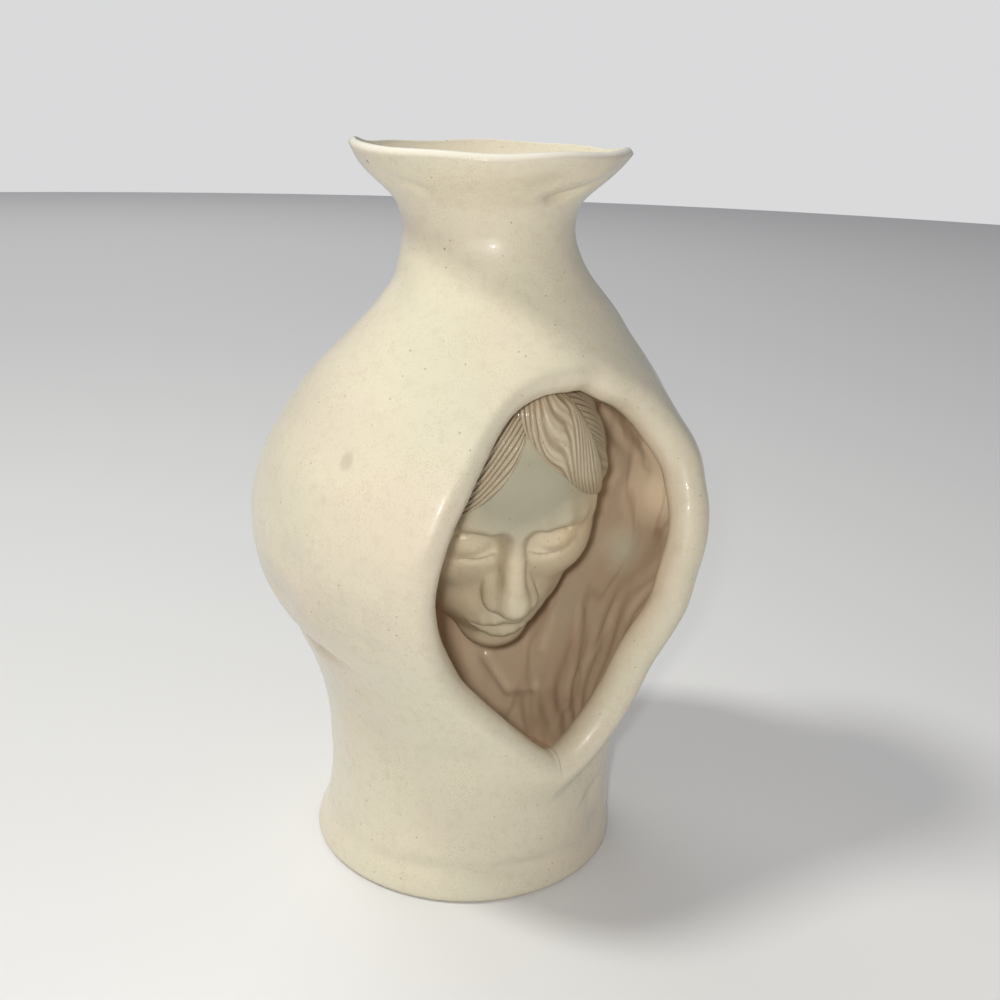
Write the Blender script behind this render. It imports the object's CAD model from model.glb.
import bpy
import bmesh
import numpy as np
from mathutils import Matrix, Vector


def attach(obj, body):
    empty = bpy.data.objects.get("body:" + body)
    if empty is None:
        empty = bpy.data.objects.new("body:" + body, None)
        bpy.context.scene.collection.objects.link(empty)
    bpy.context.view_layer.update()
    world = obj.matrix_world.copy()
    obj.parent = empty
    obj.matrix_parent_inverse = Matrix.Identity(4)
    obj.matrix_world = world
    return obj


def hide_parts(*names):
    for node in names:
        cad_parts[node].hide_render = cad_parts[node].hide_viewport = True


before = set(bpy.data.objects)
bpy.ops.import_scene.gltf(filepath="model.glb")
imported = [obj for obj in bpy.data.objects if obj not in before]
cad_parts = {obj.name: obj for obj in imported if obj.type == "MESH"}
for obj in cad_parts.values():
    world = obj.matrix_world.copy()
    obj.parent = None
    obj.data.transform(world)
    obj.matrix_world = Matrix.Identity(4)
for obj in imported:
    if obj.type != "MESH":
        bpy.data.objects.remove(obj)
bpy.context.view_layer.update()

# Face vase: a cream-glazed pot with a leaf-shaped window, and a bowed head inside it.
# Shapes are worked out in millimetres and put into the meshes in metres.
mm = 0.001
# corners nearer than this are merged, in millimetres: on the pot's whole skin, and on a single grid
skinMerge, gridMerge = 0.03, 0.002


# Small helpers

def smoothThrough(x, knots, values):
    # natural cubic spline: second derivatives m solve the three-term rows, then the cubic of each span
    k, v = np.asarray(knots, float), np.asarray(values, float)
    h = np.diff(k)
    n = len(k)
    rows, right = np.eye(n), np.zeros(n)
    i = np.arange(1, n - 1)
    rows[i, i - 1], rows[i, i], rows[i, i + 1] = h[:-1], 2 * (h[:-1] + h[1:]), h[1:]
    right[1:-1] = 6 * (np.diff(v)[1:] / h[1:] - np.diff(v)[:-1] / h[:-1])
    m = np.linalg.solve(rows, right)
    x = np.clip(x, k[0], k[-1])
    j = np.clip(np.searchsorted(k, x) - 1, 0, n - 2)
    a, b = k[j + 1] - x, x - k[j]
    return ((m[j] * a ** 3 + m[j + 1] * b ** 3) / (6 * h[j])
            + (v[j] / h[j] - m[j] * h[j] / 6) * a + (v[j + 1] / h[j] - m[j + 1] * h[j] / 6) * b)


def ease(x, low, high):
    # 3t^2 - 2t^3 of the share t that x has gone from low to high
    t = np.clip((x - low) / (high - low), 0.0, 1.0)
    return t * t * (3 - 2 * t)


def bump(x, width):
    # a bell, e to the minus (x / width) squared
    return np.exp(-(x / width) ** 2)


def turnGap(a, b):
    # the signed turn from b to a, in degrees, between -180 and 180
    return (a - b + 180.0) % 360.0 - 180.0


def unit(v):
    # each vector over its own length
    return v / np.maximum(np.linalg.norm(v, axis=-1, keepdims=True), 1e-9)


def waves(points, scale, seed):
    # the mean of a few sines along random directions, about -1 to 1: soft uneven lumps
    rng = np.random.default_rng(seed)
    total = np.zeros(points.shape[:-1])
    count = 5
    for _ in range(count):
        way = unit(rng.normal(size=3)) * rng.uniform(0.6, 1.5)
        total += np.sin(points @ way * (2 * np.pi / scale) + rng.uniform(0, 6.28))
    return total / count


def gridFaces(rows, columns, closeRows=False, closeColumns=False):
    # quads (i, j), (i, j+1), (i+1, j+1), (i+1, j) of a grid stored row by row
    i = np.arange(rows if closeRows else rows - 1)[:, None]
    j = np.arange(columns if closeColumns else columns - 1)[None, :]
    i2, j2 = (i + 1) % rows, (j + 1) % columns
    quads = [i * columns + j, i * columns + j2, i2 * columns + j2, i2 * columns + j]
    return np.stack([np.broadcast_to(q, (i.shape[0], j.shape[1])) for q in quads], -1).reshape(-1, 4)


def makeMesh(name, points, faces, attributes=None):
    # points in millimetres, faces as rows of four corners, attributes with one value for each point
    mesh = bpy.data.meshes.new(name)
    points = np.asarray(points, float).reshape(-1, 3) * mm
    mesh.vertices.add(len(points))
    mesh.vertices.foreach_set("co", points.ravel())
    mesh.loops.add(faces.size)
    mesh.loops.foreach_set("vertex_index", faces.ravel().astype(np.int32))
    mesh.polygons.add(len(faces))
    mesh.polygons.foreach_set("loop_start", np.arange(0, faces.size, faces.shape[1], dtype=np.int32))
    mesh.update(calc_edges=True)
    for key, values in (attributes or {}).items():
        layer = mesh.attributes.new(key, "FLOAT", "POINT")
        layer.data.foreach_set("value", np.asarray(values, float).ravel())
    mesh.validate()
    return mesh


def addPiece(name, mesh, nodes, material):
    mesh.polygons.foreach_set("use_smooth", np.ones(len(mesh.polygons), bool))
    mesh.materials.append(material)
    piece = bpy.data.objects.new(name, mesh)
    bpy.context.scene.collection.objects.link(piece)
    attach(piece, "root")
    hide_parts(*nodes)
    print("piece", name, len(mesh.polygons), "faces")


# The pot's wall: radius by height, a wandering axis, thumb dents and a wavy rim

pot = {
    "height": 300.0,
    "heights": (0, 9, 30, 50, 70, 85, 100, 112, 124, 136, 148, 160, 172, 184, 196, 208, 218, 228, 238, 248,
                256, 264, 272, 279, 285, 291, 296, 300),
    "radii": (66.4, 64.9, 63.0, 63.9, 67.4, 71.6, 77.5, 83.8, 89.4, 93.0, 95.2, 95.0, 92.1, 87.5, 79.9, 72.4,
              64.8, 55.8, 47.8, 40.5, 36.9, 34.8, 34.9, 37.9, 44.3, 50.0, 53.0, 55.2),
    "leanHeights": (0, 20, 50, 75, 100, 140, 180, 205, 225, 240, 255, 270, 285, 300),
    "lean": (-3.6, -1.6, -1.2, 0.8, 0.6, -1.2, 0.2, 0.0, 2.2, 3.6, 1.6, 0.2, -0.6, -0.6),
    "leanTurn": -33.0,
    "wallHeights": (0, 152, 268, 290, 300),
    "walls": (9.0, 9.0, 7.0, 4.6, 2.7),
    "slabTop": 9.0,
    "patchTop": 262.0, "neckLength": 46,
    "probe": (0.4, 0.6),                        # steps in turn and height that a slope is taken over
    # soft lumps (height, length, seed), their level, where they come in, and the calmer neck
    "lumps": ((0.6, 88.0, 3), (0.42, 41.0, 8), (0.2, 19.0, 5)), "lumpLevel": -0.55,
    "lumpsFrom": (-4, 20), "neckCalm": (0.4, 262, 290),
    "footFlare": (1.1, -118, 34, 3, 8),         # rise, turn, width, height, half height
    "footWaist": (0.5, 13, 4),                  # depth, height, half height
    "mouthPull": (2.8, 57, 17, 284),            # rise, turn, width, from this height up
    "rimHeight": 297.0, "edgeRise": 1.3,
    "rimPinches": ((2.0, -123, 13), (0.8, 57, 15)),      # (rise, turn, width)
    "rimWaves": ((0.45, 3, 0.6), (0.3, 7, 2.0)),         # (rise, waves round, phase)
    "rimGlaze": (0.8, 3.0),                     # strength of the pale edge, and its width in rows
}
# thumb dents: (turn from the front, height, half width, half height, depth), in degrees and millimetres
dentGain = 1.25
dents = (
    (-69, 188, 8, 6, 0.5), (-81, 150, 7, 10, 1.3), (-57, 151, 8, 9, 0.5), (-68, 96, 9, 7, 0.9),
    (-88, 108, 12, 5, 2.2), (-104, 112, 14, 8, 1.6), (18, 49, 6, 7, 1.2), (29, 18, 7, 6, 1.3),
    (24, 34, 5, 9, 0.9), (-98, 40, 10, 20, 1.0), (-60, 60, 14, 10, 0.8), (-30, 34, 20, 9, 0.5),
    (-5, 287, 9, 3.5, 1.2), (12, 283, 11, 3.0, 2.0), (-68, 284, 7, 3.0, 1.3), (-85, 289, 12, 4, 0.9),
    (-96, 240, 16, 12, 1.4), (120, 60, 14, 12, 1.2), (150, 180, 12, 16, 1.2), (-150, 130, 16, 12, 1.3),
    (90, 210, 13, 10, 0.9), (170, 90, 14, 12, 1.1), (-130, 215, 12, 10, 1.0), (70, 100, 9, 10, 0.8),
    (-170, 245, 14, 8, 0.9), (110, 150, 10, 10, 0.9), (60, 30, 10, 8, 1.0), (-40, 262, 13, 9, 0.5),
    (-42, 66, 22, 6, 1.5), (-74, 76, 11, 7, 1.3), (-14, 14, 16, 3.5, 0.7), (-90, 130, 6, 9, 1.8),
)
# pressed-in lines with a soft ridge above: (first turn, last turn, height at each, width, depth)
creases = (
    (-4, 33, 280.5, 287, 2.1, 3.1), (-96, -62, 288, 283.5, 1.6, 1.3), (-60, -6, 283.5, 285.5, 2.6, 0.5),
    (-112, -70, 114, 103, 2.4, 1.9), (-72, -59, 227, 224, 1.0, 0.35), (-66, -50, 128, 118, 3.0, 0.9),
    (14, 33, 30, 40, 1.8, 1.0), (-70, 10, 13, 15, 3.0, 0.45),
)
creaseForm = {
    "sway": (0.8, 7.0),                         # how far a line sways, and how often
    "start": (-0.12, 0.3), "end": (0.7, 1.12),  # shares of its length over which it comes and goes
    "ridge": (0.4, 2.2, 1.5),                   # rise, place above and width, as shares of depth and width
}
innerWall = {
    "sway": ((5.0, 17.0, 0), (3.0, 7.3, 3)),    # how the streaks sway: (turn, height, waves round)
    "streaks": (0.55, 31), "streakGaps": (23.0, 4, -0.7, 0.6),
    "lumps": (0.9, 26.0, 12), "lumpStretch": 0.35,
    "from": (12, 40), "to": (225, 262),
    "brownTo": (236, 272), "neckBrown": 0.35,
    "foldRadius": 80.0,
}
# folds of clay on the inside: (places along a line as (turn, height), half width, rise)
folds = (
    (((142, 53), (128, 37), (113, 43)), 2.4, 2.0), (((96, 84), (91, 60), (90, 44), (98, 27)), 1.9, -1.5),
    (((100, 190), (104, 168), (101, 153)), 2.2, -1.8), (((84, 182), (86, 160)), 3.0, 1.2),
    (((121, 96), (112, 76), (114, 62)), 2.6, 1.1), (((76, 96), (80, 74)), 2.6, 1.0),
)


def foldRise(turn, height):
    # a bell of the distance to each fold's line, the wall rolled flat about the line's first place
    radius = innerWall["foldRadius"]
    total = 0 * (turn + height)
    for places, wide, rise in folds:
        firstTurn, firstHeight = places[0]
        x = np.radians(turnGap(turn, firstTurn)) * radius + 0 * height
        flat = np.stack([x, height - firstHeight + 0 * x], -1)
        nearest = np.full(x.shape, 1e9)
        line = np.array([(np.radians(t - firstTurn) * radius, h - firstHeight) for t, h in places])
        for start, end in zip(line[:-1], line[1:]):
            share = np.clip((flat - start) @ (end - start) / ((end - start) @ (end - start)), 0, 1)
            away = flat - start - share[..., None] * (end - start)
            nearest = np.minimum(nearest, np.linalg.norm(away, axis=-1))
        total = total + rise * bump(nearest, wide)
    return total


def axisAt(height):
    shift = smoothThrough(height, pot["leanHeights"], pot["lean"])
    turn = np.radians(pot["leanTurn"])
    return shift * np.cos(turn), shift * np.sin(turn)


def ringPoint(turn, height, radius):
    # the point at a radius from the wandering axis, turned from -Y towards +X
    x, y = axisAt(height)
    a = np.radians(turn)
    return np.stack([x + radius * np.sin(a), y - radius * np.cos(a), height + 0 * a], -1)


def outerRadius(turn, height):
    # radius by height, less each dent's bell of turn times bell of height, less each crease's bell with
    # its ridge, plus soft lumps, the foot's flare and waist, and the mouth's pulled-out end
    radius = smoothThrough(height, pot["heights"], pot["radii"])
    base = ringPoint(turn, height, radius)
    for middle, level, wide, tall, depth in dents:
        radius = radius - dentGain * depth * bump(turnGap(turn, middle), wide) * bump(height - level, tall)
    size, often = creaseForm["sway"]
    rise, above, wider = creaseForm["ridge"]
    for first, last, low, high, wide, depth in creases:
        along = (turnGap(turn, first) + 0 * height) / (last - first)
        level = height - low - (high - low) * along - size * np.sin(often * along + first)
        soft = ease(along, *creaseForm["start"]) * (1 - ease(along, *creaseForm["end"]))
        ridge = rise * bump(level - above * wide, wider * wide)
        radius = radius - depth * soft * (bump(level, wide) - ridge)
    lumps = sum(size * waves(base, length, seed) for size, length, seed in pot["lumps"]) + pot["lumpLevel"]
    flare, middle, wide, level, tall = pot["footFlare"]
    ends = flare * bump(turnGap(turn, middle), wide) * bump(height - level, tall)
    waist, level, tall = pot["footWaist"]
    ends = ends - waist * bump(height - level, tall)
    pull, middle, wide, low = pot["mouthPull"]
    ends = ends + pull * bump(turnGap(turn, middle), wide) * ease(height, low, pot["height"])
    calm, low, high = pot["neckCalm"]
    return radius + lumps * ease(height, *pot["lumpsFrom"]) * (1 - calm * ease(height, low, high)) + ends


def outerPoint(turn, height):
    return ringPoint(turn, height, outerRadius(turn, height))


def outerNormal(turn, height):
    # cross product of the surface's steps in turn and in height
    aside, along = pot["probe"]
    around = outerPoint(turn + aside, height) - outerPoint(turn - aside, height)
    low, high = np.maximum(height - along, 0.0), np.minimum(height + along, pot["height"])
    return unit(np.cross(around, outerPoint(turn, high) - outerPoint(turn, low)))


def wallAt(height):
    return np.interp(height, pot["wallHeights"], pot["walls"])


def innerPoint(turn, height):
    # the outer point moved in by the wall, with swaying scraped streaks, long lumps and the folds
    wall = wallAt(height)
    point = outerPoint(turn, height) - wall[..., None] * outerNormal(turn, height)
    wander = turn
    for size, length, count in innerWall["sway"]:
        wander = wander + size * np.sin(height / length + np.radians(count * turn))
    depth, count = innerWall["streaks"]
    length, gaps, low, high = innerWall["streakGaps"]
    seen = ease(np.sin(height / length + np.radians(gaps * turn)), low, high)
    size, length, seed = innerWall["lumps"]
    stretch = np.array([1.0, 1.0, innerWall["lumpStretch"]])
    rise = depth * np.sin(np.radians(wander * count)) * seen + size * waves(point * stretch, length, seed)
    rise = rise + foldRise(turn, height)
    fade = ease(height, *innerWall["from"]) * (1 - ease(height, *innerWall["to"]))
    a = np.radians(turn)
    return point + (rise * fade)[..., None] * np.stack([-np.sin(a), np.cos(a), 0 * a], -1)


def wallGrid(point, turns, heights):
    # a grid of the wall's points, one row for each height
    return point(turns + 0 * heights[:, None], heights[:, None] + 0 * turns)


# The window: a leaf on the wall, drawn in turn and in length along the profile

window = {
    "bottom": 54.0,
    "top": 224.7,
    "left": ((0.0, 1.0), (0.22, 0.998), (0.42, 0.98), (0.58, 0.945), (0.71, 0.885), (0.82, 0.81), (0.9, 0.74),
             (0.97, 0.63), (1.0, 0.5), (0.985, 0.38), (0.93, 0.275), (0.79, 0.2), (0.6, 0.14), (0.4, 0.08),
             (0.2, 0.032), (0.0, 0.0)),
    "right": ((0.0, 1.0), (0.22, 0.997), (0.43, 0.97), (0.65, 0.94), (0.82, 0.9), (0.94, 0.85), (0.99, 0.79),
              (0.98, 0.72), (0.94, 0.66), (0.9, 0.58), (0.86, 0.5), (0.82, 0.41), (0.76, 0.32), (0.66, 0.225),
              (0.55, 0.15), (0.42, 0.09), (0.27, 0.042), (0.14, 0.016), (0.0, 0.0)),
    "leftTurn": -47.7,
    "rightTurn": 41.5,
    "middleTurn": -1.0,
    "middleHeight": 138.0,
    "sidePlaces": 400,
    # the patch of wall round the leaf: its reach, how it crowds to the lip, and columns on the pot's back
    "patchTurn": 82.0, "patchCrowd": 1.25, "backColumns": 1.2,
    "lipRadius": 8.0, "innerFlank": 20.0,
    # by the angle round the leaf from straight down, anticlockwise seen from the front
    "lipTurns": (0, 12, 40, 75, 95, 125, 160, 200, 235, 270, 300, 330, 348, 360),
    "lipStandOut": (4.4, 4.8, 5.0, 4.4, 3.0, 1.6, 0.7, 0.6, 0.6, 0.6, 0.7, 1.2, 3.0, 4.4),
    "lipFlank": (15, 13, 13, 15, 18, 22, 26, 28, 30, 30, 28, 24, 18, 15),
    # the edge's slope at the sharp corner, and the angle about it in which the lip stretches little
    "tipSlope": 0.9, "tipAngle": 0.25, "tipStretch": 1.12,
    "slopeStep": 0.004, "softRays": 37, "softPad": 40,
}
profileHeights = np.linspace(0, pot["height"], 1201)
profileRadii = smoothThrough(profileHeights, pot["heights"], pot["radii"])
profileLengths = np.concatenate([[0], np.cumsum(np.hypot(np.diff(profileHeights), np.diff(profileRadii)))])
flatRadius = 90.0


def lengthAt(height):
    return np.interp(height, profileHeights, profileLengths)


def heightAt(length):
    return np.interp(length, profileLengths, profileHeights)


def toFlat(turn, height):
    # turn and height as flat millimetres about the leaf's middle
    return np.stack([np.radians(turn - window["middleTurn"]) * flatRadius,
                     lengthAt(height) - lengthAt(window["middleHeight"])], -1)


def fromFlat(flat):
    return (np.degrees(flat[..., 0] / flatRadius) + window["middleTurn"],
            heightAt(flat[..., 1] + lengthAt(window["middleHeight"])))


def leafOutline():
    # both sides of the leaf as one smooth closed line, from the tip up the right and down the left
    rise = window["top"] - window["bottom"]
    sides = []
    for key, reach in (("right", window["rightTurn"]), ("left", window["leftTurn"])):
        share = np.array(window[key])
        along = np.concatenate([[0], np.cumsum(np.hypot(np.diff(share[:, 0]), np.diff(share[:, 1])))])
        places = np.linspace(0, along[-1], window["sidePlaces"])
        turn = reach * smoothThrough(places, along, share[:, 0])
        height = window["bottom"] + rise * smoothThrough(places, along, share[:, 1])
        sides.append(toFlat(turn, height))
    return np.concatenate([sides[0][::-1], sides[1][1:]])


def leafFrames(rays):
    # where each ray from the middle meets the leaf, its direction, how far a step of 1 mm across the edge
    # goes along the ray, and the same smoothed, for steps away from the middle
    outline = leafOutline()
    turn = np.unwrap(np.arctan2(outline[:, 0], -outline[:, 1]))
    turn = turn - 2 * np.pi * np.round(turn[len(turn) // 2] / (2 * np.pi) - 0.5)
    reach = np.linalg.norm(outline, axis=1)
    order = np.argsort(turn)
    turn, reach = turn[order], reach[order]
    radius = np.interp(rays, turn, reach)
    step = window["slopeStep"]
    ahead, behind = np.interp(rays + step, turn, reach), np.interp(rays - step, turn, reach)
    atTip = (rays < 2 * step) | (rays > 2 * np.pi - 2 * step)
    slope = np.where(atTip, window["tipSlope"] * radius, np.abs(ahead - behind) / (2 * step))
    across = np.hypot(1.0, slope / radius)
    weights, pad = np.hanning(window["softRays"]), window["softPad"]
    padded = np.concatenate([across[-pad:], across, across[:pad]])
    soft = np.convolve(padded, weights / weights.sum(), "same")[pad:-pad]
    nearTip = np.minimum(rays, 2 * np.pi - rays) < window["tipAngle"]
    softest = np.where(nearTip, np.minimum(soft, window["tipStretch"]), soft)
    way = np.stack([np.sin(rays), -np.cos(rays)], -1)
    return radius[:, None] * way, way, across, softest


def patchBoundary(turns, heights):
    # the far outline of the window's patch, from straight below the tip and anticlockwise
    half = len(turns) // 2
    bottom = [(t, heights[0]) for t in turns[half:-1]]
    right = [(turns[-1], h) for h in heights[:-1]]
    top = [(t, heights[-1]) for t in turns[:0:-1]]
    left = [(turns[0], h) for h in heights[:0:-1]]
    rest = [(t, heights[0]) for t in turns[:half]]
    return np.array(bottom + right + top + left + rest, float)


def lipSection(standOut, flank):
    # across the edge, as steps out from the coil's middle line and heights over the wall: an outer flank,
    # half a circle and an inner flank; the last result is the inner wall's share along the inner flank
    r = window["lipRadius"]
    t = np.linspace(0, 1, flankRows)[:, None]
    outX, outY = flank * (1 - t), standOut * (1 - ease(1 - t, 0.0, 1.0))
    a = np.linspace(0, np.pi, roundRows)[1:, None]
    roundX, roundY = -r * np.sin(a), standOut - r + r * np.cos(a)
    s = np.linspace(0, 1, flankRows)[1:, None]
    inX = window["innerFlank"] * s
    return (np.concatenate([outX + 0 * standOut, roundX + 0 * standOut, inX + 0 * standOut]),
            np.concatenate([outY, roundY, standOut - 2 * r + 0 * s]), ease(s, 0.0, 1.0))


spacing = 1.5
flankRows = 14
roundRows = 21
patchRows = 26


def buildWall():
    # the patch as one grid, from its far outline over the lip to the inner wall, with a tag and a share of
    # brown glaze for each row, and the turns and heights that the rest of the wall goes on from
    reach = window["patchTurn"]
    lengths = np.linspace(lengthAt(pot["slabTop"]), lengthAt(pot["patchTop"]), int(pot["height"] / spacing))
    heights = heightAt(lengths)
    half = int(np.radians(reach) * flatRadius / spacing)
    frontTurns = np.linspace(-reach, reach, 2 * half + 1) + window["middleTurn"]
    backTurns = np.linspace(reach, 360 - reach, int(window["backColumns"] * half)) + window["middleTurn"]
    far = patchBoundary(frontTurns, heights)
    farFlat = toFlat(far[:, 0], far[:, 1])
    rays = np.unwrap(np.arctan2(farFlat[:, 0], -farFlat[:, 1]))
    rays = rays - 2 * np.pi * np.floor(rays[len(rays) // 2] / (2 * np.pi))
    rays[0] = 0.0
    edge, way, across, soft = leafFrames(rays)
    degrees = np.degrees(rays)
    standOut = np.interp(degrees, window["lipTurns"], window["lipStandOut"])
    flank = np.interp(degrees, window["lipTurns"], window["lipFlank"])
    stepX, lift, inShare = lipSection(standOut, flank)
    stretch = np.where(stepX < 0, across, soft)
    flat = edge + (stepX * stretch)[..., None] * way
    turn, height = fromFlat(flat)
    wall = wallAt(height)
    deep = flankRows + roundRows - 1
    lift[deep:] = lift[deep:] * (1 - inShare) - wall[deep:] * inShare
    outside = outerPoint(turn, height)
    normal = outerNormal(turn, height)
    lip = outside + lift[..., None] * normal
    blendIn = np.concatenate([np.zeros(deep), inShare[:, 0]])[:, None, None]
    lip = lip * (1 - blendIn) + blendIn * innerPoint(turn, height)
    t = np.linspace(0, 1, patchRows)[:, None, None] ** window["patchCrowd"]
    outTurn, outHeight = fromFlat(farFlat * (1 - t) + flat[0] * t)
    inTurn, inHeight = fromFlat(flat[-1] * (1 - t) + farFlat * t)
    patch = np.concatenate([outerPoint(outTurn, outHeight)[:-1], lip, innerPoint(inTurn, inHeight)[1:]])
    tag = np.concatenate([np.zeros(patchRows - 1), np.ones(len(lip)), np.full(patchRows - 1, 2)])
    inside = np.concatenate([np.zeros(patchRows - 1 + flankRows), np.linspace(0, 1, roundRows - 1) ** 2,
                             np.ones(flankRows - 1 + patchRows - 1)])
    return {"points": patch, "tag": tag, "inside": inside, "rays": rays, "heights": heights,
            "front": frontTurns, "back": backTurns}


def rimHeightAt(turn):
    # the mouth's edge: nearly level, pinched up at its two ends, with a slow wave
    a = np.radians(turn)
    height = pot["rimHeight"] + sum(rise * bump(turnGap(turn, middle), wide)
                                    for rise, middle, wide in pot["rimPinches"])
    for rise, count, phase in pot["rimWaves"]:
        height = height + rise * np.sin(count * a + phase)
    return height


def neckSkin(turns, rows, edgeRows):
    # up the outside of the neck and flare, over the thin rounded edge, and down the inside
    t = np.linspace(0, 1, rows)[:, None]
    thin = pot["edgeRise"]
    height = pot["patchTop"] + (rimHeightAt(turns) - thin - pot["patchTop"]) * t
    turn = turns + 0 * height
    outside, inside = outerPoint(turn, height), innerPoint(turn, height)
    a = np.linspace(0, np.pi, edgeRows)[1:-1, None, None]
    middle, half = (outside[-1] + inside[-1]) / 2, (outside[-1] - inside[-1]) / 2
    over = middle + half * np.cos(a) + np.array([0, 0, thin]) * np.sin(a)
    return np.concatenate([outside, over, inside[::-1]])


def joinedSkin(skin):
    # the patch, the back, the neck and the ring on the slab as one mesh; face tags: 0 wall, 1 right lip,
    # 2 left lip; the seam counts the columns, above 0 at the lip's outer edge and below 0 at its inner edge
    turns = np.concatenate([skin["front"], skin["back"][1:-1]])
    rows, columns = skin["points"].shape[:2]
    isLip = (skin["tag"][1:] == 1) & (skin["tag"][:-1] == 1)
    side = np.where(skin["rays"] < np.pi, 1, 2)
    tags = [(isLip[:, None] * side[None, :]).ravel()]
    points, faces = [skin["points"].reshape(-1, 3)], [gridFaces(rows, columns, closeColumns=True)]
    insides, edges = [np.repeat(skin["inside"], columns)], [np.zeros(rows * columns)]

    def add(block, blockFaces, shade, rim=0.0):
        faces.append(blockFaces + sum(len(b) for b in points))
        points.append(block.reshape(-1, 3))
        insides.append(np.broadcast_to(shade, block.shape[:-1]).ravel())
        edges.append(np.broadcast_to(rim, block.shape[:-1]).ravel())
        tags.append(np.zeros(len(blockFaces), int))

    backOut, backIn = (wallGrid(point, skin["back"], skin["heights"]) for point in (outerPoint, innerPoint))
    backFaces = gridFaces(*backOut.shape[:2])
    add(backOut, backFaces, 0.0)
    add(backIn, backFaces[:, ::-1], (1 - ease(skin["heights"], *innerWall["brownTo"]))[:, None])
    neck = neckSkin(turns, int(pot["neckLength"] / spacing) + 2, 9)
    over = len(neck) // 2 + 2
    neckInside = np.concatenate([np.zeros(over), np.linspace(0, 1, len(neck) - over) ** 3])[:, None]
    fromEdge = np.abs(np.arange(len(neck)) - (len(neck) - 1) / 2)[:, None]
    strength, wide = pot["rimGlaze"]
    add(neck, gridFaces(*neck.shape[:2], closeColumns=True), innerWall["neckBrown"] * neckInside,
        strength * bump(fromEdge, wide))
    foot = np.stack([point(turns, np.full(len(turns), pot["slabTop"])) for point in (outerPoint, innerPoint)])
    add(foot, gridFaces(*foot.shape[:2], closeColumns=True)[:, ::-1], np.array([[0.0], [1.0]]))
    whole = makeMesh("potSkin", np.concatenate(points), np.concatenate(faces),
                     {"inside": np.concatenate(insides), "rimEdge": np.concatenate(edges)})
    seam = np.zeros(len(whole.vertices), np.int32)
    edgeRow = int(np.argmax(skin["tag"] == 1))
    endRow = rows - 1 - int(np.argmax(skin["tag"][::-1] == 1))
    seam[edgeRow * columns + np.arange(columns)] = np.arange(columns) + 1
    seam[endRow * columns + np.arange(columns)] = -np.arange(columns) - 1
    for key, domain, values in (("tag", "FACE", np.concatenate(tags)), ("seam", "POINT", seam)):
        layer = whole.attributes.new(key, "INT", domain)
        layer.data.foreach_set("value", values.astype(np.int32))
    return whole


def openEdges(bm):
    return sum(1 for edge in bm.edges if len(edge.link_faces) != 2)


def wallMesh():
    # the whole wall as one closed skin that keeps its smooth normals; at the slab they come from the sides
    skin = buildWall()
    whole = joinedSkin(skin)
    bm = bmesh.new()
    bm.from_mesh(whole)
    bpy.data.meshes.remove(whole)
    bmesh.ops.remove_doubles(bm, verts=bm.verts, dist=skinMerge * mm)
    bmesh.ops.recalc_face_normals(bm, faces=bm.faces)
    bm.normal_update()
    normals = bm.verts.layers.float_vector.new("skinNormal")
    bm.faces.layers.int.new("hidden")
    for vert in bm.verts:
        vert[normals] = vert.normal
        if vert.co.z < (pot["slabTop"] + 0.01) * mm:
            sides = (face.normal for face in vert.link_faces if face.normal.z > -0.8)
            vert[normals] = sum(sides, Vector((0, 0, 0)))
    print("pot skin", len(bm.verts), "points", openEdges(bm), "open edges")
    return bm, len(skin["rays"]), skin["rays"]


rings = {
    # each ring of the wall, from this height up to this one, in millimetres
    "foot_wall": (None, 78.0), "belly_wall": (78.0, 140.0), "upper_belly_wall": (140.0, 190.0),
    "shoulder_wall": (190.0, 240.0), "neck_collar": (240.0, 284.0), "flared_mouth": (284.0, None),
}


def partOfSkin(skin, wanted, firstColumn, lastColumn):
    # the faces with the wanted tag, closed between their outer and inner edges along the rolled lip
    bm = skin.copy()
    tag = bm.faces.layers.int["tag"]
    hidden = bm.faces.layers.int["hidden"]
    seam = bm.verts.layers.int["seam"]
    bmesh.ops.delete(bm, geom=[face for face in bm.faces if face[tag] != wanted], context="FACES")
    outer = {vert[seam]: vert for vert in bm.verts if vert[seam] > 0}
    inner = {-vert[seam]: vert for vert in bm.verts if vert[seam] < 0}
    count = leafColumns
    for column in range(firstColumn, lastColumn):
        here, there = column % count + 1, (column + 1) % count + 1
        face = bm.faces.new((outer[here], outer[there], inner[there], inner[here]))
        face[hidden] = 1
    ends = [edge for edge in bm.edges if len(edge.link_faces) == 1]
    if ends:
        for face in bmesh.ops.holes_fill(bm, edges=ends, sides=0)["faces"]:
            face[hidden] = 1
    bmesh.ops.recalc_face_normals(bm, faces=bm.faces)
    return bm


def ringOfWall(wall, low, high):
    # cuts the wall level at the two joints and closes each cut flat
    bm = wall.copy()
    hidden = bm.faces.layers.int["hidden"]
    for height, below in ((high, True), (low, False)):
        if height is None:
            continue
        cut = bmesh.ops.bisect_plane(bm, geom=bm.verts[:] + bm.edges[:] + bm.faces[:],
                                     plane_co=(0, 0, height * mm), plane_no=(0, 0, 1),
                                     clear_outer=below, clear_inner=not below)
        edges = [item for item in cut["geom_cut"] if isinstance(item, bmesh.types.BMEdge)]
        filled = bmesh.ops.triangle_fill(bm, use_beauty=True, edges=edges, normal=(0, 0, 1))
        for face in filled["geom"]:
            if isinstance(face, bmesh.types.BMFace):
                face[hidden] = 1
    bmesh.ops.recalc_face_normals(bm, faces=bm.faces)
    return bm


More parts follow.
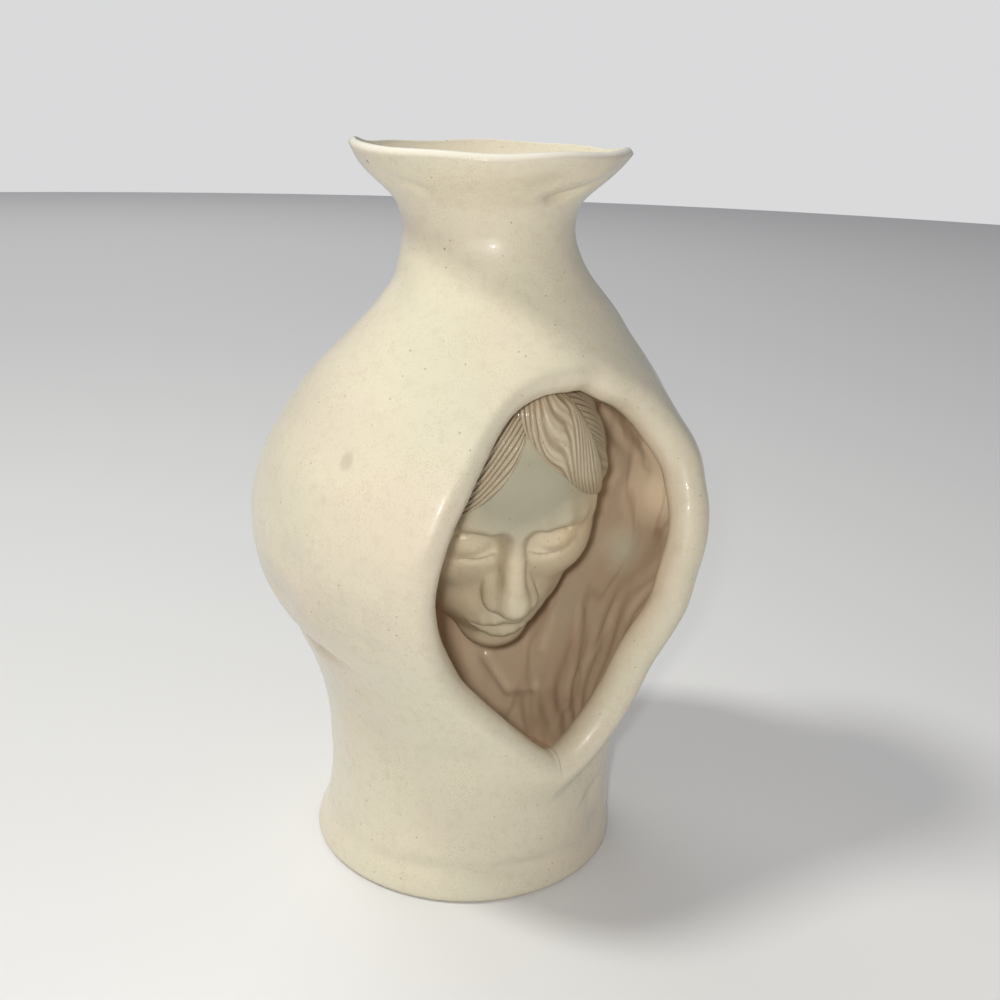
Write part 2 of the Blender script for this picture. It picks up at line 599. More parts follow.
def finishSkin(name, bm, nodes, material):
    # keeps the whole pot's smooth normals on every visible face, so that the joints don't show in the glaze
    hidden = bm.faces.layers.int["hidden"]
    for edge in bm.edges:
        edge.smooth = len({face[hidden] for face in edge.link_faces}) == 1
    print("   ", name, "open edges", openEdges(bm))
    mesh = bpy.data.meshes.new(name)
    bm.to_mesh(mesh)
    bm.free()
    normals = np.zeros(3 * len(mesh.vertices))
    mesh.attributes["skinNormal"].data.foreach_get("vector", normals)
    flat, sizes = np.zeros(len(mesh.polygons), np.int32), np.zeros(len(mesh.polygons), np.int32)
    mesh.attributes["hidden"].data.foreach_get("value", flat)
    mesh.polygons.foreach_get("loop_total", sizes)
    corners = np.zeros(len(mesh.loops), np.int32)
    mesh.loops.foreach_get("vertex_index", corners)
    wanted = unit(normals.reshape(-1, 3))[corners] * (np.repeat(flat, sizes) == 0)[:, None]
    for key in ("skinNormal", "hidden", "tag", "seam"):
        mesh.attributes.remove(mesh.attributes[key])
    addPiece(name, mesh, nodes, material)
    mesh.normals_split_custom_set(wanted.tolist())


slab = {
    "rounding": 2.4, "roundRows": 6, "sideRows": 5, "sharp": 60.0,
    # rings of the bottom and of the top, as shares of the radius
    "under": (0.0, 0.3, 0.6, 0.85), "over": (0.86, 0.6, 0.3, 0.0),
}


def slabMesh():
    # bottom, rounded foot edge, side and top as one profile turned about the pot's axis, the poles closed
    turns = np.linspace(0, 360, 241)[:-1]
    rounding, top = slab["rounding"], pot["slabTop"]
    under, over = np.array(slab["under"])[:, None], np.array(slab["over"])[:, None]
    a = np.linspace(0, np.pi / 2, slab["roundRows"])[:, None]
    side = np.linspace(rounding, top, slab["sideRows"])[1:, None]
    edge = outerRadius(turns, rounding + 0 * turns)
    outward = np.concatenate([(edge - rounding) * under, edge - rounding * (1 - np.sin(a)),
                              outerRadius(turns + 0 * side, side + 0 * turns)])
    radius = np.concatenate([outward, outward[-1] * over])
    height = np.concatenate([0 * under, rounding * (1 - np.cos(a)), side, top + 0 * over]) + 0 * turns
    points = ringPoint(turns + 0 * radius, height, radius)
    middle = ringPoint(0.0, 0.0, 0.0)
    points[0], points[-1] = middle, middle + np.array([0, 0, top])
    return closeUp("base_slab", points, gridFaces(*radius.shape, closeColumns=True), sharp=slab["sharp"])


def closeUp(name, points, faces, attributes=None, sharp=180.0):
    # merges the seams and poles of a grid, turns its faces outwards, and marks edges over an angle as sharp
    mesh = makeMesh(name, points, faces, attributes)
    bm = bmesh.new()
    bm.from_mesh(mesh)
    bmesh.ops.remove_doubles(bm, verts=bm.verts, dist=gridMerge * mm)
    bmesh.ops.recalc_face_normals(bm, faces=bm.faces)
    for edge in bm.edges:
        edge.smooth = bool(edge.calc_face_angle(0.0) < np.radians(sharp))
    print("   ", name, "open edges", openEdges(bm))
    bm.to_mesh(mesh)
    bm.free()
    return mesh


def tubeMesh(path, radius, around, closed=False):
    # a round section carried along a path; radius holds one value for each place of the path
    ahead = unit(np.roll(path, -1, 0) - np.roll(path, 1, 0)) if closed else unit(np.gradient(path, axis=0))
    side = unit(np.cross(ahead, np.array([0.0, 0.0, 1.0])))
    up = np.cross(side, ahead)
    a = np.linspace(0, 2 * np.pi, around + 1)[:-1]
    ring = side[:, None] * np.cos(a)[:, None] + up[:, None] * np.sin(a)[:, None]
    return path[:, None] + radius[:, None, None] * ring


# the seam coil: places along it and round it, rise over the slab, distance from the wall, and its presses
coil = {"places": 120, "around": 16, "rise": 3.2, "inset": 3.6, "radius": 4.2, "press": 0.3, "presses": 17}


def addFootCoil(material):
    # a finger-pressed coil in the corner between the slab and the wall
    turns = np.linspace(0, 360, coil["places"] + 1)[:-1]
    height = np.full(len(turns), pot["slabTop"] + coil["rise"])
    reach = outerRadius(turns, height) - pot["walls"][0] - coil["inset"]
    radius = coil["radius"] + coil["press"] * np.sin(np.radians(turns * coil["presses"]))
    points = tubeMesh(ringPoint(turns, height, reach), radius, coil["around"], closed=True)
    faces = gridFaces(*points.shape[:2], closeRows=True, closeColumns=True)
    mesh = closeUp("foot_seam_coil", points, faces, {"inside": np.ones(points.shape[:2])})
    addPiece("foot_seam_coil", mesh, ["foot_seam_coil"], material)


def addPot(material):
    half = int(np.argmax(leafRays >= np.pi))
    wall = partOfSkin(potSkin, 0, 0, leafColumns)
    for node, (low, high) in rings.items():
        finishSkin(node, ringOfWall(wall, low, high), [node], material)
    lips = (("window_lip_right", 1, 0, half), ("window_lip_left", 2, half, leafColumns))
    for node, tag, first, last in lips:
        finishSkin(node, partOfSkin(potSkin, tag, first, last), [node], material)
    addPiece("base_slab", slabMesh(), ["base_slab"], material)
    addFootCoil(material)


# The head: skull and face as one smooth clay surface, worked out upright and then seated in the pot

head = {
    "middle": (8.0, 5.0, 163.0),
    "turn": -19.0, "bow": 26.0, "lean": -1.0,
    "walk": (84.0, 0.9, 24),                    # start, share and steps of the walk in from outside
    # the grid's directions, closer together about the face: (middle, width, from, to, gain)
    "crowdSide": (0.0, 48.0, -180.0, 180.0, 2.6), "crowdUp": (-22.0, 34.0, -90.0, 90.0, 1.6),
    # eggs of clay: (middle, half sizes, softness of the join); those at the sides are on both of them
    "skull": (((0, 4, 17), (40.5, 44, 49), 1), ((0, -10, -12), (35, 34.5, 46), 9),
              ((0, -13, -38), (26.5, 28, 26), 12), ((0, -36, -57), (12.5, 10, 9), 17),
              ((0, -20, 24), (34, 25, 32), 18)),
    "sides": (((24, -26, -13), (13, 13, 13), 14), ((21, -15, -40), (8, 15, 12), 15),
              ((30, -8, 4), (9, 22, 20), 12)),
    "nape": ((0, 20, -34), (23, 22, 25), 20),
}


def rotation(axis, angle):
    # right-handed turn about X (0), Y (1) or Z (2), in degrees
    a = np.radians(angle)
    j, k = ((1, 2), (2, 0), (0, 1))[axis]
    matrix = np.eye(3)
    matrix[j, j] = matrix[k, k] = np.cos(a)
    matrix[j, k], matrix[k, j] = -np.sin(a), np.sin(a)
    return matrix


def seat(points):
    # from the upright head to its place in the pot: lean, bow, turn, then the move
    matrix = rotation(2, head["turn"]) @ rotation(0, head["bow"]) @ rotation(1, head["lean"])
    return np.asarray(points) @ matrix.T + np.array(head["middle"])


def egg(p, middle, half):
    # near distance to an ellipsoid: k (k - 1) / l, k the length of p over half sizes, l over their squares
    q = p - np.array(middle, float)
    k = np.linalg.norm(q / np.array(half, float), axis=-1)
    l = np.linalg.norm(q / np.array(half, float) ** 2, axis=-1)
    return k * (k - 1) / np.maximum(l, 1e-6)


def rod(p, start, end, thick, thin):
    # distance to a line from start to end, less a radius that goes from thick to thin
    a, b = np.array(start, float), np.array(end, float)
    t = np.clip(((p - a) @ (b - a)) / ((b - a) @ (b - a)), 0, 1)
    return np.linalg.norm(p - a - t[..., None] * (b - a), axis=-1) - thick - (thin - thick) * t


def bow(p, points, thick, thin):
    # distance to a bent line through points, less a radius that is thick in the middle and thin at the ends
    points = np.array(points, float)
    best = np.full(p.shape[:-1], 1e9)
    count = len(points) - 1
    for i in range(count):
        width = [thin + (thick - thin) * np.sin(np.pi * j / count) for j in (i, i + 1)]
        best = join(best, rod(p, points[i], points[i + 1], width[0], width[1]), 1.0)
    return best


def join(a, b, soft):
    # smooth least of two distances, rounded over the soft length
    h = np.clip(0.5 + 0.5 * (b - a) / soft, 0, 1)
    return b * (1 - h) + a * h - soft * h * (1 - h)


def carve(a, b, soft):
    # takes b out of a, with the edge rounded over the soft length
    return -join(-a, b, soft)


def mirrored(p):
    return np.concatenate([np.abs(p[..., :1]), p[..., 1:]], -1)


def archPoints(middle, width, rise, depth):
    # an arc across the face: from inner to outer corner, risen in the middle, falling back at the outer end
    x, y, z = middle
    return [(x + width * s, y + depth * (s + 1) ** 2 / 4 + 0.6 * s * s, z + rise * (1 - s * s))
            for s in np.linspace(-1, 1, 7)]


def walkIn(distance, way, start, share, steps):
    # along each direction, comes in from the start by a share of the distance until it is nought
    reach = np.full(way.shape[:-1], start)
    for _ in range(steps):
        reach = reach - share * distance(way * reach[..., None])
    return reach


def headDistance(p):
    m = mirrored(p)
    d = egg(p, *head["skull"][0][:2])
    for middle, half, soft in head["skull"][1:]:
        d = join(d, egg(p, middle, half), soft)
    for middle, half, soft in head["sides"]:
        d = join(d, egg(m, middle, half), soft)
    d = join(d, egg(p, *head["nape"][:2]), head["nape"][2])
    # brow and socket
    d = join(d, bow(m, ((3, -44.5, 10.5), (11, -44.5, 13.2), (19, -41.8, 14.2), (26, -37.0, 12.6),
                        (31, -31.0, 9)), 3.4, 1.6), 10)
    d = carve(d, egg(m, (16.5, -47.5, 2.5), (12.5, 6.2, 8.0)), 7)
    d = carve(d, egg(m, (6.5, -49, 3), (4.5, 6, 8)), 6)
    # eyeball under the closed lid, the fold above it, the lid's edge and the lash line
    d = join(d, egg(m, (17.0, -34.6, -0.5), (10.6, 8.6, 8.6)), 2.6)
    d = carve(d, bow(m, archPoints((17, -43.6, 3.6), 9.5, 3.2, 6.5), 0.75, 0.4), 1.3)
    d = join(d, bow(m, archPoints((17, -42.2, -3.0), 9.6, -2.6, 6.6), 1.35, 0.7), 1.4)
    d = carve(d, bow(m, archPoints((17, -43.9, -4.4), 9.4, -2.6, 6.8), 0.6, 0.35), 0.9)
    # nose: bridge, ball, wings and nostrils
    d = join(d, rod(p, (0, -43.0, 9), (0, -54.5, -17), 3.6, 5.2), 7)
    d = join(d, egg(p, (0, -56.2, -20.5), (7.0, 6.8, 6.0)), 4.5)
    d = join(d, egg(m, (7.4, -50.5, -22.0), (4.5, 6.4, 4.6)), 3.5)
    d = carve(d, egg(m, (4.2, -54.5, -27.0), (2.5, 4.0, 2.0)), 1.6)
    d = carve(d, bow(m, ((10.4, -49.5, -16.5), (12.6, -48.0, -20.5), (12.8, -46.5, -25.0)), 0.9, 0.4), 3.0)
    # lips: a round muzzle, upper lip with its groove, lower lip, mouth line and the hollow over the chin
    d = join(d, egg(p, (0, -36, -37), (19, 13.5, 13)), 9)
    d = join(d, bow(m, ((1.4, -49.8, -37.2), (4.5, -49.4, -37.2), (8.5, -47.8, -38.6),
                        (12.5, -45.0, -40.8)), 2.6, 1.2), 3.0)
    d = join(d, bow(p, ((-11.5, -45.0, -42.8), (-8, -46.8, -44.2), (-4, -48.0, -45.2), (0, -48.4, -45.5),
                        (4, -48.0, -45.2), (8, -46.8, -44.2), (11.5, -45.0, -42.8)), 3.1, 1.1), 2.5)
    d = carve(d, bow(p, ((-13.5, -45.2, -41.6), (-8.5, -49.2, -41.2), (-4, -51.2, -41.0), (0, -51.6, -41.8),
                         (4, -51.2, -41.0), (8.5, -49.2, -41.2), (13.5, -45.2, -41.6)), 0.8, 0.45), 1.4)
    d = carve(d, rod(p, (0, -52.8, -28.5), (0, -53.8, -34.2), 1.5, 1.9), 2.2)
    d = carve(d, bow(p, ((-7, -46.8, -52), (0, -48.8, -52.8), (7, -46.8, -52)), 2.0, 1.2), 4.5)
    return d


def headRadius(way):
    return walkIn(headDistance, way, *head["walk"])


def wayOf(side, up):
    # the direction at an angle to the right of the nose and an angle above the level, in degrees
    s, u = np.radians(side), np.radians(up)
    return np.stack([np.sin(s) * np.cos(u), -np.cos(s) * np.cos(u), np.sin(u) + 0 * s], -1)


def spread(count, middle, width, low, high, gain):
    # angles from low to high, closer together by the gain within the width about the middle
    places = np.linspace(low, high, 4000)
    density = 1 + gain * bump(places - middle, width)
    total = np.concatenate([[0], np.cumsum((density[1:] + density[:-1]) / 2)])
    return np.interp(np.linspace(0, total[-1], count), total, places)


def headGrid():
    # the reach along each direction of a grid round the head, each pole at its row's mean
    side = spread(380, *head["crowdSide"])[:-1]
    up = spread(230, *head["crowdUp"])
    way = wayOf(side[None, :], up[:, None])
    reach = headRadius(way)
    reach[0], reach[-1] = reach[0].mean(), reach[-1].mean()
    return way * reach[..., None]


def addHead(material):
    points = headGrid()
    mesh = closeUp("head", seat(points), gridFaces(*points.shape[:2], closeColumns=True))
    addPiece("head", mesh, ["head"], material)


# Ears: an oval pad with a rolled rim, an inner ridge, a hollow, a lobe and the flap at its front

ear = {
    "half": (5.0, 8.2, 15.0),
    "reach": 39.5, "back": 6.0, "drop": -12.0,
    "turn": 20.0, "tilt": -12.0,
    "walk": (22.0, 0.85, 26),
    # the rim: thickness, (first turn, last turn, places), lean, stand-out, distance from the pad's edge and
    # narrowing; and the hollow: half depth, and half sizes as a share of the pad's
    "rim": 2.1, "rimTurns": (-150, 105, 9), "rimLean": 0.5, "rimOut": 3.2, "rimInset": 1.6, "rimNarrow": 0.95,
    "hollow": 3.4, "hollowShare": 0.66,
}


def earDistance(p):
    wide, tall = ear["half"][1:]
    d = egg(p, (0, 0, 0), ear["half"])
    t = np.radians(np.linspace(*ear["rimTurns"])) + ear["rimLean"]
    inset, share = ear["rimInset"], ear["hollowShare"]
    rim = np.stack([ear["rimOut"] + 0 * t, (wide - inset) * np.sin(t) * ear["rimNarrow"],
                    (tall - inset) * np.cos(t)], -1)
    d = join(d, bow(p, rim, ear["rim"], 1.3), 1.4)
    d = carve(d, egg(p, (5.4, 0.2, 1.0), (ear["hollow"], wide * share, tall * share)), 1.6)
    d = join(d, bow(p, ((2.4, 3.2, 8.5), (2.7, 3.7, 3.0), (2.8, 2.9, -2.5), (2.4, 0.4, -6.5)), 1.5, 0.9), 1.6)
    d = join(d, egg(p, (2.9, -4.6, -2.4), (2.2, 2.6, 3.2)), 1.8)
    return join(d, egg(p, (1.6, -1.4, -12.2), (3.6, 5.0, 5.2)), 2.5)


def addEars(material):
    sizes = ((150, 84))
    turns, ups = np.linspace(-180, 180, sizes[0])[:-1], np.linspace(-90, 90, sizes[1])
    way = wayOf(turns[None, :], ups[:, None])
    reach = walkIn(earDistance, way, *ear["walk"])
    reach[0], reach[-1] = reach[0].mean(), reach[-1].mean()
    pad = way * reach[..., None]
    for name, side in (("ear_left", -1), ("ear_right", 1)):
        placed = pad * np.array([side, 1, 1]) @ (rotation(2, side * ear["turn"]) @ rotation(0, ear["tilt"])).T
        placed = placed + np.array([side * ear["reach"], ear["back"], ear["drop"]])
        mesh = closeUp(name, seat(placed), gridFaces(*way.shape[:2], closeColumns=True))
        addPiece(name, mesh, [name], material)


# Hair: a combed sheet on each side of the parting, and a thick rolled lock over the right temple

hair = {
    "thickness": 3.2, "thinnest": 0.6, "under": 0.5, "sunk": 1.5,
    # the parting, as angles from the front over the crown; then by side where the first and last strands
    # bend and end, as angles (outwards, up)
    "parting": (54.0, 152.0),
    "bend": {-1: ((12.0, 20.0), (128.0, 34.0)), 1: ((48.0, 44.0), (128.0, 34.0))},
    "end": {-1: ((68.0, -2.0), (168.0, -34.0)), 1: ((72.0, 2.0), (168.0, -34.0))},
    "bendPull": 1.15,
    # strands and finer strands: (how many, sharpness, depth); how they sway: (size, along, across)
    "strands": (52, 7, 0.62), "fineStrands": (109, 3, 0.22),
    "sway": ((0.014, 5.0, 9.0), (0.008, 13.0, 31.0)),
    # broad bunches: least height, the rest of it, how many, and how they sway
    "bunches": (0.72, 0.28, 5.3, 0.1, 4),
    # shares of width and length over which the sheet's edges come down: first, last, root, tip
    "edges": (0.016, 0.04, 0.03, 0.1),
}
lock = {
    # the middle line: (angle to the right, angle up), its radius and height over the skull along it
    "line": ((4.0, 76.0), (12.0, 69.0), (19.0, 61.0), (25.0, 53.0), (31.0, 45.0), (37.5, 36.0), (46.0, 26.0),
             (56.0, 15.0)),
    "radius": (5.0, 10.5, 12.0, 11.8, 10.0, 8.0, 5.5, 3.0),
    "rise": -0.6, "flatness": 0.82, "twist": 0.7, "strands": 21,
    # how grooves and finer grooves wave: (size, along, round, phase)
    "twistWaves": ((0.32, 7, 1, 0.0), (0.18, 17, 2, 1.0)),
    "finePhase": 1.3, "fineWaves": ((2.4, 9, 0, 0.0), (1.1, 29, 3, 0.0)),
    "groove": (0.06, 5), "fineGroove": (0.022, 3),       # (depth, sharpness)
    "swell": (0.035, 2, 5),
}


def strandWays(side, along, across):
    # directions of the strands: from the parting, by a bent arc, to the ends at ear and nape
    low, high = hair["parting"]
    over = np.radians(low + (high - low) * across)
    start = np.stack([0 * over, -np.cos(over), np.sin(over)], -1)
    turned = []
    for first, last in (hair["bend"][side], hair["end"][side]):
        turn = side * (first[0] + (last[0] - first[0]) * across)
        turned.append(wayOf(turn, first[1] + (last[1] - first[1]) * across))
    u = along[:, None, None]
    return unit((1 - u) ** 2 * start + 2 * u * (1 - u) * turned[0] * hair["bendPull"] + u * u * turned[1])


def sheetFaces(rows, columns):
    # a closed shell of two grids stored one after the other: outside, inside, and the four edges between
    index = np.arange(rows * columns).reshape(rows, columns)
    border = np.concatenate([index[0, :-1], index[:-1, -1], index[-1, :0:-1], index[:0:-1, 0]])
    beside = np.roll(border, -1)
    count = rows * columns
    return np.concatenate([gridFaces(rows, columns), gridFaces(rows, columns)[:, ::-1] + count,
                           np.stack([border, beside, beside + count, border + count], -1)])


def addHairSheet(name, side, material):
    # a shell over the skull: thickness with broad bunches, less a power of a cosine for each strand
    rows, columns = ((76, 560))
    along, across = np.linspace(0, 1, rows), np.linspace(0, 1, columns)
    way = strandWays(side, along, across)
    skull = headRadius(way)
    u, v = along[:, None], across[None, :]
    wander = v
    for size, i, j in hair["sway"]:
        wander = wander + size * np.sin(i * u + j * v)
    count, sharp, depth = hair["strands"]
    groove = np.abs(np.cos(np.pi * count * wander)) ** sharp
    count, sharp, fineDepth = hair["fineStrands"]
    fine = np.abs(np.cos(np.pi * count * wander + 1.1 * side)) ** sharp
    least, rest, count, size, often = hair["bunches"]
    bunch = 0.5 + 0.5 * np.sin(2 * np.pi * (wander * count + size * np.sin(often * u)) + side)
    first, last, root, tip = hair["edges"]
    edge = ease(v, 0, first) * ease(1 - v, 0, last) * ease(u, 0, root) * ease(1 - u, 0, tip)
    rise = hair["thickness"] * (least + rest * bunch) - depth * groove - fineDepth * fine
    under = hair["under"]
    outer = way * (skull - under + (under + np.maximum(rise, hair["thinnest"])) * edge)[..., None]
    inner = way * (skull - hair["sunk"])[..., None]
    points = np.concatenate([outer.reshape(-1, 3), inner.reshape(-1, 3)])
    dark = (np.clip(groove + 0.35 * fine, 0, 1) * edge).ravel()
    mesh = closeUp(name, seat(points), sheetFaces(rows, columns),
                   {"groove": np.concatenate([dark, 0 * dark])})
    addPiece(name, mesh, [name], material)


def addHairLock(material):
    # a fat tube over the skull with combed grooves that twist round it, closed at both ends
    rows, around = ((230, 250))
    t = np.linspace(0, 1, rows)
    knots = np.linspace(0, 1, len(lock["line"]))
    side, up = (smoothThrough(t, knots, [place[i] for place in lock["line"]]) for i in (0, 1))
    way = wayOf(side, up)
    path = way * (headRadius(way) + lock["rise"])[:, None]
    taper = np.sqrt(np.clip(1 - (2 * np.abs(t - 0.5)) ** 6, 0, 1))
    radius = smoothThrough(t, knots, lock["radius"]) * taper
    across = unit(np.cross(unit(np.gradient(path, axis=0)), way))
    a = np.linspace(0, 2 * np.pi, around + 1)[:-1][None, :]
    u = t[:, None]
    turn = a + 2 * np.pi * lock["twist"] * u
    for size, i, j, phase in lock["twistWaves"]:
        turn = turn + size * np.sin(i * u + j * a + phase)
    fineTurn = lock["strands"] * turn + lock["finePhase"]
    for size, i, j, phase in lock["fineWaves"]:
        fineTurn = fineTurn + size * np.sin(i * u + j * a + phase)
    depth, sharp = lock["groove"]
    groove = np.abs(np.cos(lock["strands"] * turn / 2)) ** sharp
    fineDepth, sharp = lock["fineGroove"]
    fine = np.abs(np.cos(fineTurn)) ** sharp
    size, i, j = lock["swell"]
    reach = radius[:, None] * (1 - depth * groove - fineDepth * fine + size * np.sin(i * a + j * u))
    ring = (np.cos(a)[..., None] * across[:, None]
            + lock["flatness"] * np.sin(a)[..., None] * way[:, None])
    points = path[:, None] + reach[..., None] * ring
    points[0], points[-1] = path[0], path[-1]
    mesh = closeUp("hair_roll", seat(points), gridFaces(rows, around, closeColumns=True),
                   {"groove": np.clip(groove + 0.3 * fine, 0, 1)})
    addPiece("hair_roll", mesh, ["hair_roll"], material)


# The stem that carries the head from the back wall, pressed out wider at both ends

stem = {
    "start": (0.0, 4.8, -21.4), "slope": -25.0, "reach": 66.0, "radius": 19.0, "places": 40, "around": 72,
    # how much wider the ends are, and the width of the bell at each end
    "spread": 6.0, "spreadEnd": 0.3, "spreadStart": 0.45,
    "lumps": (0.8, 24.0, 21),
}


def addStem(material):
    # a round section along a straight line, wider by a bell at each end, with soft lumps and flat ends
    t = np.linspace(0, 1, stem["places"])
    slope = np.radians(stem["slope"])
    line = stem["reach"] * t[:, None] * np.array([0.0, np.cos(slope), np.sin(slope)])
    path = seat(np.array(stem["start"]) + line)
    ends = bump(t - 1, stem["spreadEnd"]) + bump(t, stem["spreadStart"])
    points = tubeMesh(path, stem["radius"] + stem["spread"] * ends, stem["around"])
    size, length, seed = stem["lumps"]
    points = points + (size * waves(points, length, seed))[..., None] * unit(points - path[:, None])
    caps = np.stack([path[0] + 0 * points[0], path[-1] + 0 * points[0]])
    points = np.concatenate([caps[:1], points, caps[1:]])
    mesh = closeUp("neck_stem", points, gridFaces(*points.shape[:2], closeColumns=True),
                   {"inside": np.ones(points.shape[:2])})
    addPiece("neck_stem", mesh, ["neck_stem"], material)


# Glazes

glazes = {
    "cream": (0.73, 0.675, 0.52), "warm": (0.70, 0.60, 0.48), "cool": (0.665, 0.655, 0.50),
    "speck": (0.42, 0.30, 0.18), "pit": (0.17, 0.11, 0.06), "thinEdge": (0.88, 0.86, 0.78),
    "inside": (0.88, 0.71, 0.515), "insideDark": (0.58, 0.41, 0.28), "insidePale": (0.96, 0.92, 0.74),
    "headCream": (0.78, 0.67, 0.48), "headWarm": (0.82, 0.68, 0.46), "headCool": (0.68, 0.63, 0.46),
    "brow": (0.40, 0.385, 0.285), "groove": (0.25, 0.17, 0.10), "hairCream": (0.60, 0.50, 0.35),
    "hairPale": (0.59, 0.52, 0.38),
}
plain, nowhere = (1.0, 1.0, 1.0), (0.0, 0.0, 0.0)
# soft patches over a first colour: (colour, noise scale, detail, from, full at, share, stretch, offset)
glazePatches = {
    "cream": (("warm", 11.0, 3.0, 0.38, 0.66, 0.6, plain, nowhere),
              ("cool", 16.0, 4.0, 0.45, 0.7, 0.6, plain, (2.0, 5.0, 1.0))),
    "inside": (("insideDark", 34.0, 5.0, 0.44, 0.72, 0.5, (1.0, 1.0, 0.22), nowhere),
               ("insidePale", 21.0, 3.0, 0.54, 0.78, 0.6, (1.0, 1.0, 0.4), (4.0, 2.0, 9.0))),
    "headCream": (("headWarm", 22.0, 3.0, 0.4, 0.66, 1.0, plain, nowhere),
                  ("headCool", 15.0, 2.0, 0.42, 0.62, 0.8, plain, (1.0, 4.0, 2.0))),
    "hairPale": (("hairCream", 26.0, 4.0, 0.4, 0.68, 1.0, plain, nowhere),),
}
# fine grains, the drifts they are thicker in, faint clouds and dark pits: noise scale, from, full at, and
# the drifts' least share or the greatest share of the other two
specks = {
    "grains": (1900.0, 0.57, 0.70), "drifts": (48.0, 0.35, 0.65, 0.3), "clouds": (260.0, 0.5, 0.75, 0.14),
    "pits": (150.0, 0.035, 0.075, 0.5),
}
# finger-made unevenness and a faint orange peel: (noise scale, depth in metres)
shine = {"coatRoughness": 0.06, "specular": 0.4, "uneven": (85.0, 0.0012), "peel": (430.0, 0.0003)}
runs = {"scale": 24.0, "stretch": (1.0, 1.0, 0.3), "offset": (5.0, 3.0, 1.0), "width": (0.004, 0.035),
        "share": 0.5}
brow = {"middle": (0.0, -40.0, 31.0), "half": (44.0, 42.0, 33.0), "core": 0.4, "share": 0.9}


class Nodes:
    # short forms for adding and joining a material's nodes
    def __init__(self, name):
        self.material = bpy.data.materials.new(name)
        self.material.use_nodes = True
        self.tree = self.material.node_tree
        self.shader = self.tree.nodes["Principled BSDF"]
        self.place = self.add("ShaderNodeTexCoord").outputs["Object"]

    def add(self, kind, **settings):
        node = self.tree.nodes.new(kind)
        for key, value in settings.items():
            setattr(node, key, value)
        return node

    def set(self, socket, value):
        if isinstance(value, bpy.types.NodeSocket):
            self.tree.links.new(value, socket)
        else:
            socket.default_value = value

    def noise(self, scale, detail, stretch=plain, offset=nowhere):
        place = self.add("ShaderNodeMapping")
        self.set(place.inputs["Vector"], self.place)
        place.inputs["Location"].default_value = offset
        place.inputs["Scale"].default_value = stretch
        node = self.add("ShaderNodeTexNoise")
        self.set(node.inputs["Vector"], place.outputs["Vector"])
        node.inputs["Scale"].default_value, node.inputs["Detail"].default_value = scale, detail
        return node.outputs["Fac"]

    def ramp(self, value, low, high, bottom=0.0, top=1.0):
        # straight from bottom at low to top at high
        node = self.add("ShaderNodeMapRange")
        for key, number in (("From Min", low), ("From Max", high), ("To Min", bottom), ("To Max", top)):
            node.inputs[key].default_value = number
        self.set(node.inputs["Value"], value)
        return node.outputs["Result"]

    def math(self, kind, a, b=0.0):
        node = self.add("ShaderNodeMath", operation=kind)
        self.set(node.inputs[0], a)
        self.set(node.inputs[1], b)
        return node.outputs[0]

    def times(self, a, b):
        return self.math("MULTIPLY", a, b)

    def mix(self, share, a, b):
        node = self.add("ShaderNodeMix", data_type="RGBA")
        self.set(node.inputs["Factor"], share)
        for key, colour in (("A", a), ("B", b)):
            socket = [item for item in node.inputs if item.name == key and item.type == "RGBA"][0]
            self.set(socket, colour if isinstance(colour, bpy.types.NodeSocket) else (*colour, 1.0))
        return [item for item in node.outputs if item.type == "RGBA"][0]

    def patched(self, first):
        # the first colour with its soft patches laid over it
        colour = glazes[first]
        for name, scale, detail, low, high, share, stretch, offset in glazePatches[first]:
            patch = self.ramp(self.noise(scale, detail, stretch, offset), low, high, 0.0, share)
            colour = self.mix(patch, colour, glazes[name])
        return colour


    def bump(self, height, distance, strength, below=None):
        node = self.add("ShaderNodeBump")
        self.set(node.inputs["Height"], height)
        node.inputs["Distance"].default_value, node.inputs["Strength"].default_value = distance, strength
        if below:
            self.set(node.inputs["Normal"], below)
        return node.outputs["Normal"]

    def spot(self, middle, half, inner=0.5):
        # 1 within a share of an ellipsoid about a place in millimetres, 0 outside it
        away = self.add("ShaderNodeVectorMath", operation="SUBTRACT")
        self.set(away.inputs[0], self.place)
        away.inputs[1].default_value = [v * mm for v in middle]
        over = self.add("ShaderNodeVectorMath", operation="DIVIDE")
        self.set(over.inputs[0], away.outputs[0])
        over.inputs[1].default_value = [v * mm for v in half]
        far = self.add("ShaderNodeVectorMath", operation="LENGTH")
        self.set(far.inputs[0], over.outputs[0])
        return self.ramp(far.outputs["Value"], inner, 1.0, 1.0, 0.0)

    def attribute(self, name):
        return self.add("ShaderNodeAttribute", attribute_name=name).outputs["Fac"]


def speckled(n, colour, amount):
    # fine tan grains everywhere, thicker in drifts, faint clouds and a few dark pits
    scale, low, high = specks["grains"]
    grains = n.ramp(n.noise(scale, 1.0), low, high)
    scale, low, high, share = specks["drifts"]
    drifts = n.ramp(n.noise(scale, 2.0, offset=(3.0, 1.0, 2.0)), low, high, share, 1.0)
    colour = n.mix(n.times(n.times(grains, drifts), amount), colour, glazes["speck"])
    scale, low, high, share = specks["clouds"]
    clouds = n.ramp(n.noise(scale, 3.0, offset=(1.0, 2.0, 6.0)), low, high, 0.0, share)
    colour = n.mix(clouds, colour, glazes["speck"])
    scale, low, high, share = specks["pits"]
    pits = n.add("ShaderNodeTexVoronoi")
    n.set(pits.inputs["Vector"], n.place)
    pits.inputs["Scale"].default_value = scale
    return n.mix(n.ramp(pits.outputs["Distance"], low, high, share, 0.0), colour, glazes["pit"])


